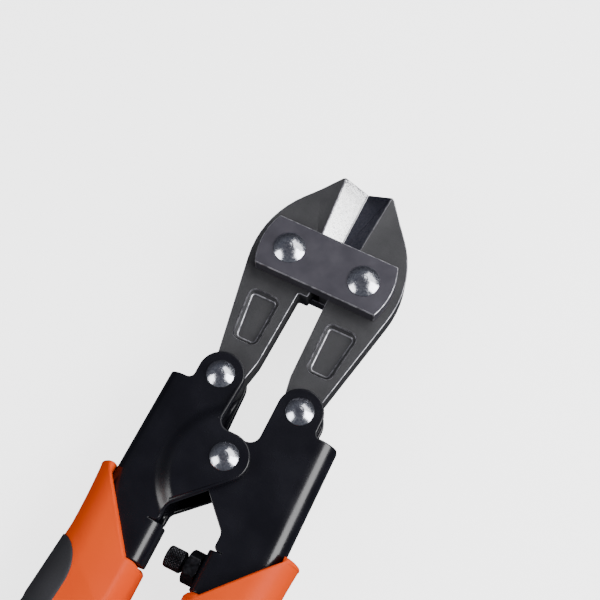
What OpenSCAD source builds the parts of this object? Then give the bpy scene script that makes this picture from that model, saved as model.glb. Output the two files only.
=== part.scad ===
// Compact bolt cutters, lying flat with the jaws closed.
// X runs across the tool, Y from the grips to the jaw tips, Z through its thickness.
// The origin is on the surface the tool lies on, under the middle of its length.
// Everything is drawn about the middle of the jaw pivots and then set down by lay_flat().

/* [Jaws] */
// Distance between the two jaw pivots
pivot_span = 20.5; // [20:0.1:25]
// Pivot line to the jaw tips
tip_reach = 25.3; // [21:0.1:31]
// Pivot line to the toggle pivots
tail_reach = 36.4; // [34:0.1:46]
// Distance between the two toggle pivots
toggle_span = 21.4; // [20:0.1:26]
// Thickness of a jaw
jaw_t = 6.8; // [5:0.1:9]
// Jaw pivot to the outer edge of the head
head_rim = 9.75; // [8:0.05:12]
// Half width of the flat at the tips
tip_half_w = 7; // [5:0.1:9]
// Width of the ground cutting bevel at the jaw's flat faces
bevel_w = 4.9; // [3:0.1:6]
// Slope of the ramps that thicken the jaws beside the bevels
ramp_angle = 9; // [4:0.5:12]
// Flat land left on the cutting edge
edge_land = 0.3; // [0.1:0.1:0.6]
// Gap between the two cutting edges when closed
edge_gap = 0.1; // [0.04:0.02:0.4]
// Radius of the jaw tail round its toggle pivot
tail_end_r = 5.2; // [4:0.1:5.6]
// Depth of the recess in each face of a tail
pocket_depth = 1.3; // [0.4:0.1:2]

/* [Link plates] */
// Thickness of a link plate
plate_t = 4.2; // [3:0.1:6]
// Height of the front link plate
plate_h = 14.3; // [12:0.1:18]
// Height of the rear link plate
rear_plate_h = 12.6; // [11:0.1:18]
// Radius of the rounded ends of the plates
plate_end_r = 17.9; // [17:0.1:23]

/* [Rivets] */
// Shank diameter of the jaw rivets
jaw_rivet_d = 6; // [4:0.1:7]
// Head diameter of the jaw rivets
jaw_head_d = 8.2; // [7.5:0.1:10]
// Height of the jaw rivet heads
jaw_head_h = 1.9; // [1.2:0.1:2.5]
// Shank diameter of the toggle and centre rivets
pin_d = 5; // [3.5:0.1:6]
// Head diameter of the toggle and centre rivets
pin_head_d = 7; // [6.5:0.1:9]
// Height of the toggle and centre rivet heads
pin_head_h = 1.8; // [1.2:0.1:2.5]

/* [Handles] */
// Thickness of the handle sheet
sheet_t = 2.4; // [1.6:0.1:3]
// Radius of the handle ears round the toggle pivots
ear_r = 5.8; // [5:0.1:7]
// Radius of the handle discs round the centre pivot
disc_r = 6; // [5.5:0.1:8]
// Toggle line to the centre pivot
centre_drop = 18.1; // [16:0.1:24]
// Half width of the handles at their shoulders
shoulder_half_w = 22.5; // [19:0.1:28]
// Toggle line to the handle shoulders
shoulder_drop = 3.9; // [3:0.1:8]
// Angle at which each handle leans outwards
handle_lean = 0.7; // [0:0.1:3]
// Angle at which the channel's inner edges close in inside the grips
inner_taper = 3.5; // [1:0.1:5]
// Length of a handle channel below its shoulder
channel_length = 98; // [88:1:108]
// Outside radius of the bends between the flanges and the web
bend_r = 4.4; // [3.4:0.1:5]
// Half gap between the inner edges of the closed handles
inner_half_gap = 7.3; // [6:0.1:9]

/* [Stop] */
// Length of the folded stop tabs
tab_length = 10.4; // [8:0.1:12]
// Stand of the tabs proud of the flanges
tab_proud = 1.1; // [0:0.1:2]
// Outside radius of the tabs' bends
tab_bend_r = 3.2; // [2.6:0.1:4]
// Thread diameter of the adjusting screw
screw_d = 4; // [3:0.1:5]
// Diameter of the knurled screw head
knob_d = 5.4; // [5:0.1:7]
// Length of the knurled screw head
knob_length = 5; // [3:0.1:6]
// Exposed thread between the head and the lock nut
thread_show = 0.3; // [0.2:0.1:2]
// Width across the flats of the lock nut
nut_af = 7.4; // [6:0.1:9]
// Thickness of the lock nut
nut_t = 3.4; // [2:0.1:5]

/* [Grips] */
// Length of each grip along the tool
grip_length = 115; // [95:1:140]
// Thickness of the grips
grip_t = 20.4; // [19:0.1:26]
// Plastic outside the handle wall
grip_wall = 2.9; // [2:0.1:4]
// Thickness of the soft inserts
insert_t = 1.6; // [1:0.1:2]
// Outward lean of the grips below their mouths
grip_lean = 3.5; // [1:0.5:6]
// Outward sweep of the grip ends
end_sweep = 7; // [3:0.5:10]
// Extra plastic outside the mouths
mouth_flare = 1.2; // [0:0.1:2]
// How much lower the outer corner of the right grip's mouth sits
right_mouth_drop = 1.9; // [0:0.1:4]

/* [Clearances] */
// Gap between flat faces that slide on each other
slip = 0.1; // [0.04:0.02:0.2]
// Radial clearance of the pins in their holes
pin_play = 0.05; // [0.02:0.01:0.1]
// Radial clearance of the centre rivet in the outer handle
toggle_play = 0.3; // [0.25:0.05:0.4]

/* [Hidden] */
$fn = 64;

// Levels through the thickness, from the middle plane of the jaws
jaw_z = jaw_t / 2;
plate_z = jaw_z + slip / 2;
plate_top = plate_z + plate_t;
flange_z = jaw_z + slip;
flange_top = flange_z + sheet_t;
outer_z = flange_top + slip;
outer_top = outer_z + sheet_t;
joggle = outer_z - flange_z;
grip_z = max(grip_t / 2, outer_top + pin_head_h);
pin_head_top = grip_z;

// Pivots
jaw_x = pivot_span / 2;
toggle_x = toggle_span / 2;
toggle_y = -tail_reach;
centre_y = toggle_y - centre_drop;

// Jaw outline
edge_x = edge_gap / 2;
head_x = jaw_x + head_rim;
rim_top_y = 9.1;
rim_low_y = -2.8;
rim_top_r = 26;
rim_low_r = 28;
tip_r = 1.5;
heel_relief = 7.6;
heel_drop = 8.5;
heel_drop_right = 6;
tail_gap_x = 3.6;
tail_knee_y = toggle_y + 7.4;
tail_knee_x = 4.3;
tail_out_w = 2.7;
tail_in_x = toggle_x - tail_end_r + 0.2;

// Ramps beside the bevels: the line where they start, and their end by the link plate
ramp_x = 7.2;
ramp_y = 10;
ramp_turn = 68;
ramp_clear = 0.25;

// Recesses in the tails, measured from the plate, the toggle pivot and the tail's sides
pocket_below_plate = 5.8;
pocket_above_pivot = 11.4;
pocket_in_w = 3.5;
pocket_out_w = [3.9, 3.1];
pocket_r = 1;
pocket_slope = 0.8;

// Handle outline
shoulder_y = toggle_y - shoulder_drop;
shoulder_r = 1.5;
neck_x = toggle_x - ear_r;
throat_r = 2.6;
slant = disc_r * sqrt(0.5);
corner_y = centre_y - 2 * slant - inner_half_gap;
corner_r = 2.5;
channel_end_y = shoulder_y - channel_length;
tab_x = inner_half_gap - tab_proud;
tab_top_y = corner_y - 4.2;
tab_end_y = tab_top_y - tab_length;
flange_step = 1.8;
joggle_x = -4.2;
joggle_y = centre_y - 3;
joggle_in_r = 14.8;
joggle_out_r = 19.2;
joggle_shift = 0.6;

// Adjusting screw, along X through the right-hand tab
screw_y = (tab_top_y + tab_end_y) / 2;
nut_x = tab_x - slip - nut_t;
knob_x = nut_x - thread_show - knob_length;
bush_x = tab_x + sheet_t;
bush_length = 4;
bush_r = 3.2;
screw_end_x = bush_x + bush_length + 1.5;

// Grips
mouth_y = shoulder_y - 26.4;
grip_end_y = mouth_y - grip_length;
mouth_low_y = tab_end_y - 0.1;
mouth_low_x = 9.5;
insert_y = mouth_y - 19.6;
insert_end_y = grip_end_y + 9;
insert_front = 7.5;
insert_nose = [8, 6];
insert_tail = [3, 4];
grip_nose = 1.2;
// Bends of a grip's section, measured from its inner side and from its outer side
inner_steps = [[0, 3], [0.8, 6.2]];
crease_w = 3.2;
outer_steps = [[7.5, 0], [4, 1.2], [1.2, 4.2], [0, 7.8]];
mid_y = (tip_reach + grip_end_y) / 2;

function wall_x(y) = shoulder_half_w + (shoulder_y - y) * tan(handle_lean);
function flange_in(y) = inner_half_gap + flange_step + (tab_end_y - y) * tan(inner_taper);

// Points of an outline whose corners are [x, y, radius]: each corner with a radius
// becomes an arc that touches both of its sides.
function unit(v) = v / norm(v);
function corner_arc(a, b, c) =
    let (u = unit([a.x - b.x, a.y - b.y]), w = unit([c.x - b.x, c.y - b.y]),
         half = acos(min(1, max(-1, u * w))) / 2,
         reach = b[2] / tan(half),
         mid = [b.x, b.y] + unit(u + w) * b[2] / sin(half),
         p = [b.x, b.y] + u * reach - mid, q = [b.x, b.y] + w * reach - mid,
         steps = max(2, ceil((180 - 2 * half) / 6)),
         a0 = atan2(p.y, p.x), turn = atan2(p.x * q.y - p.y * q.x, p * q))
    [for (i = [0 : steps]) mid + b[2] * [cos(a0 + turn * i / steps), sin(a0 + turn * i / steps)]];
function rounded(pts) = let (n = len(pts))
    [for (i = [0 : n - 1])
        for (p = pts[i][2] == 0 ? [[pts[i].x, pts[i].y]]
                                : corner_arc(pts[(i + n - 1) % n], pts[i], pts[(i + 1) % n])) p];

module lay_flat() translate([0, -mid_y, grip_z]) children();
module both_faces() {
    children();
    mirror([0, 0, 1]) children();
}
// A bar drawn in x and z, run from y = top down by its length
module run_down(top, run) translate([0, top, 0]) rotate([90, 0, 0]) linear_extrude(run) children();

// ---- Jaws ----
function tail_out(y) = let (x1 = toggle_x + tail_out_w)
    x1 + (head_x - x1) * (y - toggle_y) / (rim_low_y - toggle_y);
function tail_in(y) = tail_gap_x + (tail_knee_x - tail_gap_x) * y / tail_knee_y;

module jaw_outline(heel_y) {
    polygon(rounded([
        [edge_x, tip_reach, 0], [tip_half_w, tip_reach, tip_r],
        [head_x, rim_top_y, rim_top_r], [head_x, rim_low_y, rim_low_r],
        [toggle_x + tail_out_w, toggle_y, 0], [tail_in_x, toggle_y, 0],
        [tail_knee_x, tail_knee_y, 8], [tail_gap_x, heel_y, 0.6],
        [edge_x - heel_y * tan(heel_relief), heel_y, 0.4], [edge_x, 0, 0]]));
}
// Everything under the jaw's flat face and under the ramp beside its bevel
module jaw_height() {
    far = 3 * tip_reach;
    translate([-far, -far, -jaw_z]) cube([2 * far, 2 * far, 2 * jaw_z]);
    both_faces() difference() {
        translate([ramp_x, ramp_y, jaw_z]) rotate([0, 0, ramp_turn]) rotate([ramp_angle, 0, 0])
            translate([-far, -1, -jaw_z]) cube([2 * far, far, jaw_z]);
        translate([-far, plate_h / 2 + ramp_clear - 2 * far, 0]) cube(2 * far);
    }
}
module jaw_blank(heel_y) {
    difference() {
        union() {
            intersection() {
                translate([0, 0, -jaw_t]) linear_extrude(2 * jaw_t) jaw_outline(heel_y);
                jaw_height();
            }
            translate([toggle_x, toggle_y, -jaw_z]) cylinder(r = tail_end_r, h = jaw_t);
        }
        translate([jaw_x, 0, -jaw_t]) cylinder(r = jaw_rivet_d / 2 + pin_play, h = 2 * jaw_t);
        translate([toggle_x, toggle_y, -jaw_t]) cylinder(r = pin_d / 2 + pin_play, h = 2 * jaw_t);
    }
}

// Recess in the face of the tail, with sloping sides
module tail_pocket() {
    top_y = -plate_h / 2 - pocket_below_plate;
    low_y = toggle_y + pocket_above_pivot;
    module floor_outline(grow) {
        translate([0, 0, -0.01]) linear_extrude(0.02) polygon(rounded([
            [tail_in(top_y) + pocket_in_w - grow, top_y + grow, pocket_r + grow],
            [tail_out(top_y) - pocket_out_w[0] + grow, top_y + grow, pocket_r + grow],
            [tail_out(low_y) - pocket_out_w[1] + grow, low_y - grow, pocket_r + grow],
            [tail_in(low_y) + pocket_in_w - grow, low_y - grow, pocket_r + grow]]));
    }
    hull() {
        translate([0, 0, jaw_z - pocket_depth]) floor_outline(0);
        translate([0, 0, jaw_z]) floor_outline(pocket_slope);
        translate([0, 0, jaw_z + 1]) floor_outline(pocket_slope);
    }
}

// Ground bevel that meets the other jaw's at the cutting edge
module bevel_cut() {
    rise = jaw_z - edge_land / 2;
    past = 2;
    run_down(tip_reach + 1, tip_reach + 1 - plate_h / 2 + 1.2) polygon([
        [edge_x, edge_land / 2], [edge_x + bevel_w * past, edge_land / 2 + rise * past],
        [edge_x - 2, edge_land / 2 + rise * past], [edge_x - 2, edge_land / 2]]);
}

module jaw(heel_y) {
    difference() {
        jaw_blank(heel_y);
        both_faces() {
            bevel_cut();
            tail_pocket();
        }
    }
}
module left_jaw() lay_flat() color("#4d4d50") mirror([1, 0, 0]) jaw(-heel_drop);
module right_jaw() lay_flat() color("#4d4d50") jaw(-heel_drop_right);

// ---- Link plates ----
module link_plate(h) {
    translate([0, 0, plate_z]) linear_extrude(plate_t) difference() {
        intersection() {
            translate([-plate_end_r, -h / 2]) square([2 * plate_end_r, h]);
            circle(plate_end_r, $fn = 128);
        }
        for (s = [-1, 1]) translate([s * jaw_x, 0]) circle(jaw_rivet_d / 2 + pin_play);
    }
}
module front_link_plate() lay_flat() color("#5a5962") link_plate(plate_h);
module rear_link_plate() lay_flat() color("#5a5962") mirror([0, 0, 1]) link_plate(rear_plate_h);

// ---- Rivets ----
// Domed head of diameter d and height h, standing on z = 0
module rivet_head(d, h) {
    dome_r = (d * d / 4 + h * h) / (2 * h);
    rotate_extrude() intersection() {
        translate([0, h - dome_r]) circle(dome_r);
        square([d, h]);
    }
}
module rivet(shank_d, grip_half, head_d, head_h) {
    translate([0, 0, -grip_half]) cylinder(d = shank_d, h = 2 * grip_half);
    both_faces() translate([0, 0, grip_half]) rivet_head(head_d, head_h);
}
module jaw_rivet() color("#b9bbc4")
    translate([jaw_x, 0, 0]) rivet(jaw_rivet_d, plate_top, jaw_head_d, jaw_head_h);
module toggle_rivet() color("#b9bbc4")
    translate([toggle_x, toggle_y, 0]) rivet(pin_d, flange_top, pin_head_d, pin_head_h);
module left_jaw_rivet() lay_flat() mirror([1, 0, 0]) jaw_rivet();
module right_jaw_rivet() lay_flat() jaw_rivet();
module left_toggle_rivet() lay_flat() mirror([1, 0, 0]) toggle_rivet();
module right_toggle_rivet() lay_flat() toggle_rivet();
module centre_rivet() lay_flat() color("#b9bbc4")
    translate([0, centre_y, 0]) rivet(pin_d, outer_top, pin_head_d, pin_head_top - outer_top);
module centre_spacer() lay_flat() color("#8a8a90") translate([0, centre_y, -jaw_z])
    linear_extrude(jaw_t) difference() {
        circle(disc_r - 1.4);
        circle(pin_d / 2 + pin_play);
    }

// ---- Handles ----
// Both flanges in one block: ears, necks, discs and the sides of the channel
module flange_outline() {
    polygon(rounded([
        [toggle_x + ear_r - 0.1, toggle_y, 0], [toggle_x + ear_r - 0.1, shoulder_y, shoulder_r],
        [shoulder_half_w, shoulder_y, 0.8], [wall_x(channel_end_y), channel_end_y, 0],
        [flange_in(channel_end_y), channel_end_y, 0], [flange_in(tab_end_y), tab_end_y, 0],
        [tab_x, tab_end_y, 0], [tab_x, tab_top_y, 0], [inner_half_gap, tab_top_y, 0],
        [inner_half_gap, corner_y, corner_r], [0.1 - slant, centre_y - slant, 0],
        [0, centre_y, 0], [0, centre_y + disc_r - 0.1, 0],
        [neck_x + 0.1, centre_y + disc_r - 0.1, throat_r], [neck_x + 0.1, toggle_y, 0]]));
}
module flange_block(centre_hole_r) {
    tall = outer_top + 1;
    translate([0, 0, -tall]) difference() {
        union() {
            linear_extrude(2 * tall) flange_outline();
            translate([toggle_x, toggle_y, 0]) cylinder(r = ear_r, h = 2 * tall);
            translate([0, centre_y, 0]) cylinder(r = disc_r, h = 2 * tall);
        }
        translate([toggle_x, toggle_y, -1])
            cylinder(r = pin_d / 2 + pin_play, h = 2 * tall + 2);
        translate([0, centre_y, -1]) cylinder(r = centre_hole_r, h = 2 * tall + 2);
    }
}

// Outside of a folded edge: what a bend of radius r takes off a square corner at the origin.
// Its first and last facets run on past the sheet's faces.
module bend_profile(r) {
    step = 15;
    arc = [for (a = [0 : step : 90]) r * [1 - sin(a), 1 - cos(a)]];
    run_on = 3 * (arc[0] - arc[1]);
    polygon(concat([[-1, -1], [r + run_on.x, -1], [r + run_on.x, run_on.y]],
        [for (i = [1 : len(arc) - 2]) arc[i]],
        [[run_on.y, r + run_on.x], [-1, r + run_on.x]]));
}

module along_wall() translate([shoulder_half_w, shoulder_y, 0]) rotate([0, 0, handle_lean])
    children();
module web_bend() {
    along_wall() both_faces() run_down(2, channel_length + 6)
        translate([0, flange_top]) mirror([1, 0]) mirror([0, 1]) bend_profile(bend_r);
}
module tab_bend() {
    both_faces() run_down(tab_top_y + 0.2, tab_length + 0.4)
        translate([tab_x, flange_top]) mirror([0, 1]) bend_profile(tab_bend_r);
}

// Space between the two flanges, bounded by the web and by the stop tab
module channel_outline() {
    inner = sheet_t / cos(handle_lean);
    far = channel_length;
    difference() {
        polygon([[-far, far], [wall_x(far) - inner, far],
                 [wall_x(-2 * far) - inner, -2 * far], [-far, -2 * far]]);
        translate([-far, tab_end_y]) square([far + tab_x + sheet_t, tab_length]);
    }
    translate([-far, shoulder_y + 0.001]) square([3 * far, far]);
}

// Solid between -z and z, wider by the joggle round the centre disc when joggled
module slab(z, joggled, shift) {
    far = 2 * channel_length;
    if (joggled) translate([joggle_x, joggle_y, 0]) rotate_extrude() polygon([
        [0, -z - joggle], [joggle_in_r + shift, -z - joggle], [joggle_out_r + shift, -z],
        [far, -z], [far, z],
        [joggle_out_r + shift, z], [joggle_in_r + shift, z + joggle], [0, z + joggle]]);
    else translate([-far, -far, -z]) cube([2 * far, 2 * far, 2 * z]);
}

module handle(joggled, tapped) {
    tall = outer_top + 1;
    difference() {
        intersection() {
            flange_block(pin_d / 2 + (joggled ? toggle_play : pin_play));
            slab(flange_top, joggled, joggle_shift);
        }
        intersection() {
            translate([0, 0, -tall]) linear_extrude(2 * tall) channel_outline();
            slab(flange_z, joggled, 0);
        }
        web_bend();
        tab_bend();
        if (tapped) translate([tab_x - 1, screw_y, 0]) rotate([0, 90, 0])
            cylinder(r = screw_d / 2 + pin_play, h = sheet_t + 2);
    }
}
module left_handle() lay_flat() color("#17161a") mirror([1, 0, 0]) handle(true, false);
module right_handle() lay_flat() color("#17161a") handle(false, true);

// ---- Adjustable stop ----
module adjusting_screw() lay_flat() color("#2a2a2c") translate([knob_x, screw_y, 0]) rotate([0, 90, 0]) {
    cylinder(d = knob_d, h = knob_length);
    cylinder(d = screw_d, h = screw_end_x - knob_x);
}
module lock_nut() lay_flat() color("#2a2a2c") translate([nut_x, screw_y, 0]) rotate([0, 90, 0])
    difference() {
        cylinder(d = nut_af / cos(30), h = nut_t, $fn = 6);
        translate([0, 0, -1]) cylinder(r = screw_d / 2 + pin_play, h = nut_t + 2);
    }
module threaded_bush() lay_flat() color("#2a2a2c") translate([bush_x, screw_y, 0]) rotate([0, 90, 0])
    difference() {
        cylinder(r = bush_r, h = bush_length);
        translate([0, 0, -1]) cylinder(r = screw_d / 2 + pin_play, h = bush_length + 2);
    }

// ---- Grips ----
// Share of the way down a grip, share of the way up its nose, outward sweep there,
// and its two side edges
function down(y) = max(0, (mouth_y - y) / grip_length);
function nose(y) = max(0, (y - insert_y) / (mouth_y - insert_y));
function sweep(y) = end_sweep * pow(down(y), 2.2);
function grip_out(y) = wall_x(max(y, channel_end_y)) + grip_wall + mouth_flare * pow(nose(y), 2)
    + max(0, insert_y + 3 - y) * tan(grip_lean) + 0.2 * sweep(y);
function grip_in(y) = let (s = max(0, down(y) - 0.13))
    inner_half_gap - 1.9 + 6.8 * s + 0.5 * sweep(y);

// Cross-section at y, taken in by inset on its outer three sides
function grip_section(y, inset) =
    let (x0 = grip_in(y), x1 = grip_out(y) - inset, z = grip_z - inset - grip_nose * nose(y),
         half = concat([for (q = inner_steps) [x0 + q.x, q.y]], [[x0 + crease_w, z]],
                       [for (q = outer_steps) [x1 - q.x, z - q.y]]),
         n = len(half))
    concat([for (q = half) [q.x, y, q.y]],
           [for (i = [n - 1 : -1 : 0]) [half[i].x, y, -half[i].y]]);
module grip_body(inset) {
    stations = [for (s = [-0.01 : 0.101 : 1.001]) mouth_y - s * grip_length];
    rings = [for (y = stations) grip_section(y, inset)];
    n = len(rings[0]);
    last = len(rings) - 1;
    polyhedron([for (ring = rings) each ring], concat(
        [[for (j = [n - 1 : -1 : 0]) j], [for (j = [0 : n - 1]) last * n + j]],
        [for (i = [0 : last - 1]) for (j = [0 : n - 1])
            let (a = i * n + j, b = i * n + (j + 1) % n)
            each [[a, b, b + n], [a, b + n, a + n]]]));
}

// Outline seen from the front: slanted mouth, and a rounded end
module grip_outline(mouth_drop) {
    x0 = grip_in(grip_end_y);
    x1 = grip_out(grip_end_y) + 1;
    rim_x = wall_x(mouth_y) + grip_wall / 2;
    polygon(rounded([
        [x1 + 2, mouth_y - mouth_drop, 0], [rim_x, mouth_y - mouth_drop, 0],
        [mouth_low_x, mouth_low_y, 3], [inner_half_gap - 3, mouth_low_y - 0.4, 2.4],
        [inner_half_gap - 3, grip_end_y + 30, 0], [x0 - 1, grip_end_y, 6],
        [x1, grip_end_y, 7]]));
}

// Where the soft insert lies on the outer side, seen from the front
module insert_outline() {
    far_x = grip_out(grip_end_y) + 10;
    polygon(rounded([
        [far_x, insert_y, 0], [grip_out(insert_y) - insert_front / 2, insert_y, 0],
        [grip_out(insert_y - insert_nose[0]) - insert_front, insert_y - insert_nose[0], insert_nose[1]],
        [grip_out(insert_end_y) - insert_front, insert_end_y + insert_tail[0], insert_tail[1]],
        [far_x, insert_end_y - 2, 0]]));
}
module insert_region() {
    difference() {
        translate([0, 0, -grip_z - 1]) linear_extrude(2 * grip_z + 2) insert_outline();
        grip_body(insert_t);
    }
}
module grip_pocket() {
    translate([0, 0, -flange_top]) linear_extrude(2 * flange_top) polygon([
        [tab_x, tab_top_y], [tab_x, tab_end_y], [flange_in(tab_end_y), tab_end_y],
        [flange_in(channel_end_y - 1), channel_end_y - 1],
        [wall_x(channel_end_y - 1), channel_end_y - 1],
        [wall_x(mouth_y + 5), mouth_y + 5], [inner_half_gap, mouth_y + 5]]);
}
module grip_outside(mouth_drop) {
    intersection() {
        grip_body(0);
        translate([0, 0, -grip_z - 1]) linear_extrude(2 * grip_z + 2) grip_outline(mouth_drop);
    }
}
module grip(mouth_drop) color("#ff6b2d") difference() {
    grip_outside(mouth_drop);
    insert_region();
    grip_pocket();
}
module grip_insert() color("#26262b") intersection() {
    grip_outside(0);
    insert_region();
}
module left_grip() lay_flat() mirror([1, 0, 0]) grip(0);
module right_grip() lay_flat() grip(right_mouth_drop);
module left_grip_insert() lay_flat() mirror([1, 0, 0]) grip_insert();
module right_grip_insert() lay_flat() grip_insert();

left_jaw();
right_jaw();
front_link_plate();
rear_link_plate();
left_jaw_rivet();
right_jaw_rivet();
left_handle();
right_handle();
left_toggle_rivet();
right_toggle_rivet();
centre_rivet();
centre_spacer();
adjusting_screw();
lock_nut();
threaded_bush();
left_grip();
right_grip();
left_grip_insert();
right_grip_insert();
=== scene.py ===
import bpy
import bmesh
import numpy as np
from math import radians, pi
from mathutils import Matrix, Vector
from mathutils.geometry import delaunay_2d_cdt


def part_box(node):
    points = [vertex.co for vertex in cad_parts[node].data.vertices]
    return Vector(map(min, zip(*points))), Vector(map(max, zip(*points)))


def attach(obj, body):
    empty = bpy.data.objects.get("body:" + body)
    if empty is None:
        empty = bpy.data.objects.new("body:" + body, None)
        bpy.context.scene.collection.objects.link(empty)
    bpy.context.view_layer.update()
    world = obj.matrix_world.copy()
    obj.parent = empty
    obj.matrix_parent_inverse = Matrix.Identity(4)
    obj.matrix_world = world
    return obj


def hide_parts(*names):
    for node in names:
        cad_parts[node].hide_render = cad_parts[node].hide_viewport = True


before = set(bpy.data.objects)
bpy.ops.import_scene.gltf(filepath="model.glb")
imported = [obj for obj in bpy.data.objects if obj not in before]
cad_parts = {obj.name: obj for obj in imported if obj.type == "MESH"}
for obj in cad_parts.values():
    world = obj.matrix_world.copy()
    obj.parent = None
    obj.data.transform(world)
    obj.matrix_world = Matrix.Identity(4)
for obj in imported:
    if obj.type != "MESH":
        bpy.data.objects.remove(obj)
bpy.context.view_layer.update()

mm = 0.001
sides = ("left", "right")
print("frame loaded")


def linear(hexColour):  # sRGB hex to linear RGBA
    rgb = [int(hexColour[i:i + 2], 16) / 255 for i in (1, 3, 5)]
    return tuple(c / 12.92 if c <= 0.04045 else ((c + 0.055) / 1.055) ** 2.4 for c in rgb) + (1,)


def addNode(tree, kind, links=(), **settings):
    # one node: settings whose name is an input go on the socket, the others on the node,
    # and links are (input, output socket) pairs
    node = tree.nodes.new(kind)
    for name, value in settings.items():
        label = name.replace("_", " ")
        key = next((s.identifier for s in node.inputs if s.name == label and s.enabled), None)
        if hasattr(node, name) and key is None:
            setattr(node, name, value)
        else:
            next(s for s in node.inputs if s.identifier == key).default_value = value
    for name, source in links:
        tree.links.new(source, node.inputs[name])
    return node


def newMaterial(name):
    mat = bpy.data.materials.new(name)
    mat.use_nodes = True
    tree = mat.node_tree
    shader = tree.nodes["Principled BSDF"]
    coords = addNode(tree, "ShaderNodeTexCoord")
    return mat, tree, shader, coords.outputs["Object"]


def ramp(tree, source, stops):
    node = addNode(tree, "ShaderNodeValToRGB", [("Fac", source)])
    line = node.color_ramp
    while len(line.elements) < len(stops):
        line.elements.new(0.5)
    for element, (place, colour) in zip(line.elements, stops):
        element.position = place
        element.color = linear(colour) if isinstance(colour, str) else (colour,) * 3 + (1,)
    return node.outputs["Color"]


def noise(tree, place, size, detail):  # clouds with a grain of about size millimetres
    node = addNode(tree, "ShaderNodeTexNoise", [("Vector", place)], Scale=1 / (size * mm), Detail=detail)
    return node.outputs[0]


def dress(tree, shader, colour, rough, grain=None, **values):
    # colour and roughness come from nodes; grain is (height, strength, depth in millimetres) of the
    # bump; what is the same all over is set on its own socket
    tree.links.new(colour, shader.inputs["Base Color"])
    tree.links.new(rough, shader.inputs["Roughness"])
    if grain:
        height, strength, depth = grain
        bump = addNode(tree, "ShaderNodeBump", [("Height", height)], Strength=strength, Distance=depth * mm)
        tree.links.new(bump.outputs[0], shader.inputs["Normal"])
    for name, value in values.items():
        shader.inputs[name.replace("_", " ")].default_value = value


def boxMm(node):  # lowest and highest corner and the middle of a CAD node, in millimetres
    lo, hi = (np.array(corner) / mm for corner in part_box(node))
    return lo, hi, (lo + hi) / 2


def makePiece(name, points, faces, mat, smoothAngle):
    # points in millimetres, faces as a list of index rows; edges under smoothAngle degrees are smooth
    mesh = bpy.data.meshes.new(name)
    mesh.from_pydata((np.asarray(points) * mm).tolist(), [], faces)
    mesh.materials.append(mat)
    mesh.update()
    mesh.polygons.foreach_set("use_smooth", np.ones(len(mesh.polygons), bool))
    bm = bmesh.new()
    bm.from_mesh(mesh)
    bmesh.ops.remove_doubles(bm, verts=bm.verts, dist=0.002 * mm)
    bmesh.ops.dissolve_degenerate(bm, edges=bm.edges, dist=0.001 * mm)
    bmesh.ops.recalc_face_normals(bm, faces=bm.faces)
    for edge in bm.edges:
        edge.smooth = len(edge.link_faces) == 2 and edge.calc_face_angle(0) < radians(smoothAngle)
    bm.to_mesh(mesh)
    bm.free()
    piece = bpy.data.objects.new(name, mesh)
    bpy.context.scene.collection.objects.link(piece)
    return piece


def gridFaces(rows, cols, closeCols=False):
    # quads of a rows x cols grid of points laid out row by row
    r = np.arange(rows - 1)[:, None]
    c = np.arange(cols if closeCols else cols - 1)[None, :]
    a = r * cols + c
    b = r * cols + (c + 1) % cols
    return np.stack([a, b, b + cols, a + cols], -1).reshape(-1, 4).tolist()


def lathe(profile, steps, centre):
    # a profile of (radius, height) pairs turned once round Z: x = r cos t, y = r sin t, z = h
    profile = np.asarray(profile, float)
    t = np.linspace(0, 2 * pi, steps, endpoint=False)
    r, h = profile[:, 0, None], profile[:, 1, None]
    points = np.stack([r * np.cos(t), r * np.sin(t), h + 0 * t], -1).reshape(-1, 3)
    faces = gridFaces(len(profile), steps, closeCols=True)
    return points + np.asarray(centre), faces


def roundCorners(corners, stepDegrees=8):
    # corners are (x, y, radius): each becomes an arc that touches both of its sides
    out = []
    pts = [np.array(c[:2], float) for c in corners]
    for i, (x, y, r) in enumerate(corners):
        b = pts[i]
        if r == 0:
            out.append(b)
            continue
        u = pts[i - 1] - b
        w = pts[(i + 1) % len(pts)] - b
        u, w = u / np.linalg.norm(u), w / np.linalg.norm(w)
        half = np.arccos(np.clip(u @ w, -1, 1)) / 2
        mid = b + (u + w) / np.linalg.norm(u + w) * r / np.sin(half)
        p, q = b + u * r / np.tan(half) - mid, b + w * r / np.tan(half) - mid
        a0, turn = np.arctan2(p[1], p[0]), np.arctan2(p[0] * q[1] - p[1] * q[0], p @ q)
        n = max(2, int(np.ceil(abs(np.degrees(turn)) / stepDegrees)))
        t = a0 + turn * np.linspace(0, 1, n + 1)
        out.extend(mid + r * np.stack([np.cos(t), np.sin(t)], -1))
    return np.array(out)


def smoothStep(x):
    x = np.clip(x, 0, 1)
    return x * x * (3 - 2 * x)


# where things are, from the frame, in millimetres; heights are over the middle plane
pivotOf = {side: boxMm(side + "_jaw_rivet")[2] for side in sides}
toggleOf = {side: boxMm(side + "_toggle_rivet")[2] for side in sides}
centrePin = boxMm("centre_rivet")[2]
midZ = centrePin[2]
flangeTop = boxMm("right_handle")[1][2] - midZ
outerTop = boxMm("left_handle")[1][2] - midZ
plateTop = boxMm("front_link_plate")[1][2] - midZ
tipY = boxMm("right_jaw")[1][1]
gripLo = boxMm("right_grip")[0]
handleLo = boxMm("right_handle")[0]


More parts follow.
